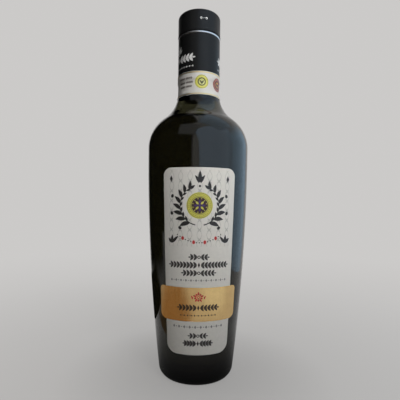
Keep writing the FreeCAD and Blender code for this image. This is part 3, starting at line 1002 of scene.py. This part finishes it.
# ---------------- stage
BACKGROUND = (0.60, 0.59, 0.58)
FILL_LEVEL = 0.20
FLOOR_WIDTH = 12.0
# how much of the background the floor shows: (metres from the axis, share); the low shares near the
# axis are painted shade round the bottle's foot
FLOOR_SHARES = ((0.03, 0.46), (0.10, 0.72), (0.35, 0.92), (0.65, 1.0), (0.80, 1.0))
TARGET = Vector((0, 0, 0.13))
HIGH_TARGET = Vector((0, 0, 0.43))
LIGHT_SPREAD = math.radians(33)
OVERHEAD = Vector((0, 0, 9))  # what a card that lies on the floor faces
# glow of the painted dark reflections
PAINTED_DARK = (0.004, 0.004, 0.004)


def math_node(tree, operation, first, second):
    """The value of an operation on a socket and on another socket or a plain number."""
    node = tree.nodes.new("ShaderNodeMath")
    node.operation = operation
    tree.links.new(first, node.inputs[0])
    if isinstance(second, float):
        node.inputs[1].default_value = second
    else:
        tree.links.new(second, node.inputs[1])
    return node.outputs[0]


def mix_into_surface(tree, share, first, second):
    """Mix two shaders by a share and show the result as the material's surface."""
    mix = tree.nodes.new("ShaderNodeMixShader")
    for source, socket in zip((share, first, second), mix.inputs):
        tree.links.new(source, socket)
    tree.links.new(mix.outputs[0], tree.nodes["Material Output"].inputs["Surface"])


def glow_shader(tree, colour):
    """Plain emission in one colour."""
    glow = tree.nodes.new("ShaderNodeEmission")
    glow.inputs["Color"].default_value = (*colour, 1)
    return glow.outputs[0]


def seen_directly(tree):
    """1 for camera, glossy and transmission rays, which see the background itself."""
    path = tree.nodes.new("ShaderNodeLightPath")
    total = path.outputs["Is Camera Ray"]
    for name in ("Is Glossy Ray", "Is Transmission Ray"):
        total = math_node(tree, "MAXIMUM", total, path.outputs[name])
    return total


def make_world():
    """An even pale surround, which lights the scene less strongly than it shows."""
    world = bpy.data.worlds.new("studio")
    bpy.context.scene.world = world
    world.use_nodes = True
    tree = world.node_tree
    background = tree.nodes["Background"]
    background.inputs["Color"].default_value = (*BACKGROUND, 1)
    level = tree.nodes.new("ShaderNodeMapRange")
    level.inputs["To Min"].default_value = FILL_LEVEL
    level.inputs["To Max"].default_value = 1.0
    tree.links.new(seen_directly(tree), level.inputs["Value"])
    tree.links.new(level.outputs["Result"], background.inputs["Strength"])


def rectangle(name, width, height, material):
    """A flat rectangle about its own middle, in metres."""
    mesh = bpy.data.meshes.new(name)
    x, y = width / 2, height / 2
    mesh.from_pydata([(-x, -y, 0), (x, -y, 0), (x, y, 0), (-x, y, 0)], [], [(0, 1, 2, 3)])
    mesh.materials.append(material)
    sheet = bpy.data.objects.new(name, mesh)
    bpy.context.scene.collection.objects.link(sheet)
    return sheet


def background_share_and_painted_shade(tree):
    """How much of the background the floor shows at a point, by its distance from the axis: less near
    the bottle, which paints shade round its foot.
    """
    place = tree.nodes.new("ShaderNodeTexCoord")
    length = tree.nodes.new("ShaderNodeVectorMath")
    length.operation = "LENGTH"
    tree.links.new(place.outputs["Object"], length.inputs[0])
    reach = FLOOR_SHARES[-1][0]
    near = tree.nodes.new("ShaderNodeMapRange")
    near.inputs["From Max"].default_value = reach
    tree.links.new(length.outputs["Value"], near.inputs["Value"])
    fade = tree.nodes.new("ShaderNodeValToRGB")
    fade.color_ramp.interpolation = "B_SPLINE"
    stops = fade.color_ramp.elements
    while len(stops) < len(FLOOR_SHARES):
        stops.new(0.5)
    for stop, (out, level) in zip(stops, FLOOR_SHARES):
        stop.position = out / reach
        stop.color = (level, level, level, 1)
    tree.links.new(near.outputs["Result"], fade.inputs["Fac"])
    return fade.outputs["Color"]


def make_floor():
    """Pale floor that runs out into the background, with painted shade near the bottle where it shows
    less of the background.
    """
    material, tree, shader = new_material("floor", (0.34, 0.33, 0.32), 0.8)
    # the floor's glow falls off near the bottle: painted shade round its foot
    share = math_node(tree, "MULTIPLY", background_share_and_painted_shade(tree), seen_directly(tree))
    mix_into_surface(tree, share, shader.outputs[0], glow_shader(tree, BACKGROUND))
    floor = rectangle("floor", FLOOR_WIDTH, FLOOR_WIDTH, material)


def make_window_light():
    """The one lamp: a soft window high to the front right, aimed high so that it fades downward."""
    place = Vector((0.28, -0.46, 0.66))
    data = bpy.data.lights.new("window", "AREA")
    data.shape = "RECTANGLE"
    data.size, data.size_y = 0.90, 0.70
    data.energy = 1.85
    data.spread = LIGHT_SPREAD
    data.color = (0.98, 0.98, 0.98)
    light = bpy.data.objects.new("window", data)
    light.location = place
    light.rotation_euler = (HIGH_TARGET - place).to_track_quat("-Z", "Y").to_euler()
    light.visible_glossy = False
    light.visible_transmission = False
    bpy.context.scene.collection.objects.link(light)


def soft_mask(tree, soft):
    """1 in the middle of a card and 0 at its edges, by a share of its width and height."""
    place = tree.nodes.new("ShaderNodeTexCoord")
    axes = tree.nodes.new("ShaderNodeSeparateXYZ")
    tree.links.new(place.outputs["Generated"], axes.inputs["Vector"])
    rises = []
    for axis in "XY":
        inward = math_node(tree, "PINGPONG", axes.outputs[axis], 0.5)
        rise = tree.nodes.new("ShaderNodeMapRange")
        rise.interpolation_type = "SMOOTHSTEP"
        rise.inputs["From Max"].default_value = soft
        tree.links.new(inward, rise.inputs["Value"])
        rises.append(rise.outputs["Result"])
    return math_node(tree, "MULTIPLY", *rises)


def painted_reflection_card(name, place, size, radiance=PAINTED_DARK, soft=0.08, target=TARGET):
    """A soft-edged card beside the set that only gloss sees and that casts no light or shadow: a
    painted reflection, bright as of a window or dark as of a flag.
    """
    material = bpy.data.materials.new(name)
    material.use_nodes = True
    tree = material.node_tree
    tree.nodes.remove(tree.nodes["Principled BSDF"])
    clear = tree.nodes.new("ShaderNodeBsdfTransparent")
    mix_into_surface(tree, soft_mask(tree, soft), clear.outputs[0], glow_shader(tree, radiance))
    card = rectangle(name, *size, material)
    card.location = place
    card.rotation_euler = (target - Vector(place)).to_track_quat("Z", "Y").to_euler()
    # seen by glossy rays alone: a painted reflection, no lamp and no blocker
    card.visible_camera = False
    card.visible_diffuse = False
    card.visible_transmission = False
    card.visible_shadow = False


def make_painted_dark_reflections():
    """Painted dark reflections: cards that only gloss sees and that block no light, which keep the
    left side, the foot and the far side of the glass dark.
    """
    # dark cards seen only in gloss that cast no shadow: painted dark reflections
    painted_reflection_card("card_left", (-0.60, -0.25, 0.40), (1.5, 1.4))
    painted_reflection_card("card_top", (-0.60, -0.10, 0.95), (0.9, 1.4))
    belly, shoulder = Vector((0, 0, 0.17)), Vector((0, 0, 0.20))
    painted_reflection_card("card_near", (-0.12, -0.155, 0.17), (0.22, 0.22), soft=0.12, target=belly)
    painted_reflection_card("card_behind", (-0.19, 0.08, 0.20), (0.30, 0.42), soft=0.15, target=shoulder)
    painted_reflection_card("card_foot", (0, 0, 0.0005), (0.22, 0.22), soft=0.5, target=OVERHEAD)
    painted_reflection_card("card_floor", (-0.14, 0.16, 0.0020), (0.38, 0.32), soft=0.15, target=OVERHEAD)
    painted_reflection_card("card_high", (-0.22, 0.40, 0.75), (0.75, 0.60), soft=0.25)


def make_painted_bright_reflections():
    """Painted reflections, glowing cards that only gloss sees and that light nothing: sky from the
    right and above, a grey wall, and a pale and a warm patch on the floor.
    """
    # each colour below is a painted reflection, a glow seen only in gloss
    sky = (0.92, 1.15, 1.42)
    side_sky = (0.80, 1.12, 1.42)
    ceiling = (0.60, 0.76, 0.92)
    grey = (0.36, 0.37, 0.38)
    pale = (0.66, 0.70, 0.70)
    warm = (0.24, 0.15, 0.08)
    low = Vector((0, 0, 0.12))
    painted_reflection_card("gloss_window", (0.50, -0.61, 0.55), (1.40, 1.00), sky, 0.04)
    painted_reflection_card("gloss_ceiling", (0.34, -0.05, 0.90), (0.80, 0.80), ceiling, 0.2)
    painted_reflection_card("gloss_left", (-0.24, -0.46, 0.62), (0.50, 0.56), grey, 0.12)
    painted_reflection_card("gloss_side", (0.30, 0.07, 0.17), (0.50, 0.54), side_sky, 0.3, low)
    painted_reflection_card("gloss_pale", (0.14, -0.15, 0.0012), (0.26, 0.26), pale, 0.25, OVERHEAD)
    painted_reflection_card("gloss_warm", (-0.140, -0.095, 0.0016), (0.28, 0.34), warm, 0.25, OVERHEAD)


CAMERA_PLACE = (0, -0.26407, 0.12148)
CAMERA_ROLL = -0.0114
CAMERA_SHIFT = (0.0067, 0.0233)
LENS_MM = 31.47


def make_camera():
    """Level, close to the bottle and near the label's top, a touch rolled as if held in the hand."""
    data = bpy.data.cameras.new("camera")
    data.sensor_width = 36
    data.lens = LENS_MM
    data.shift_x, data.shift_y = CAMERA_SHIFT
    data.clip_start, data.clip_end = 0.01, 20
    camera = bpy.data.objects.new("camera", data)
    camera.location = CAMERA_PLACE
    camera.rotation_euler = (math.pi / 2, CAMERA_ROLL, 0)
    bpy.context.scene.collection.objects.link(camera)
    bpy.context.scene.camera = camera


make_glass()
make_oil()
make_stipples()
make_cap()
make_tear_ring()
make_sleeve()
make_front_label()
make_band()
make_collar()
make_filigree()
make_wreath()
make_seal()
make_label_rows()
make_band_prints()
make_collar_prints()
make_sleeve_prints()
make_cap_mark()
make_world()
make_floor()
make_window_light()
make_painted_dark_reflections()
make_painted_bright_reflections()
make_camera()
bpy.context.scene.view_settings.view_transform = "Standard"
